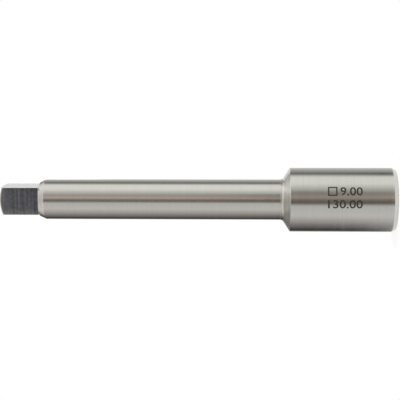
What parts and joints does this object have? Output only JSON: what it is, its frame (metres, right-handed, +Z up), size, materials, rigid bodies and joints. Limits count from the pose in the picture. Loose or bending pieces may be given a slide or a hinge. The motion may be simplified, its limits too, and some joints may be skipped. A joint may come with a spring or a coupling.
{
  "type": "tap extension",
  "caption": "Round steel bar with a crowned male square at one end and a square socket in its thicker head, for driving a screw tap set deep.",
  "frame": {"origin": "centre of the socket's end face, on which the part stands", "axes": "+Z up the bar's axis towards the crowned tip; the flats of the square and of the socket face X and Y"},
  "size_m": [0.0208, 0.0208, 0.13],
  "materials": {
    "ground_steel": "fine turned and ground steel, with milled flats on the square"
  },
  "bodies": {
    "root": {"tap_extension": "ground_steel"}
  },
  "joints": []
}
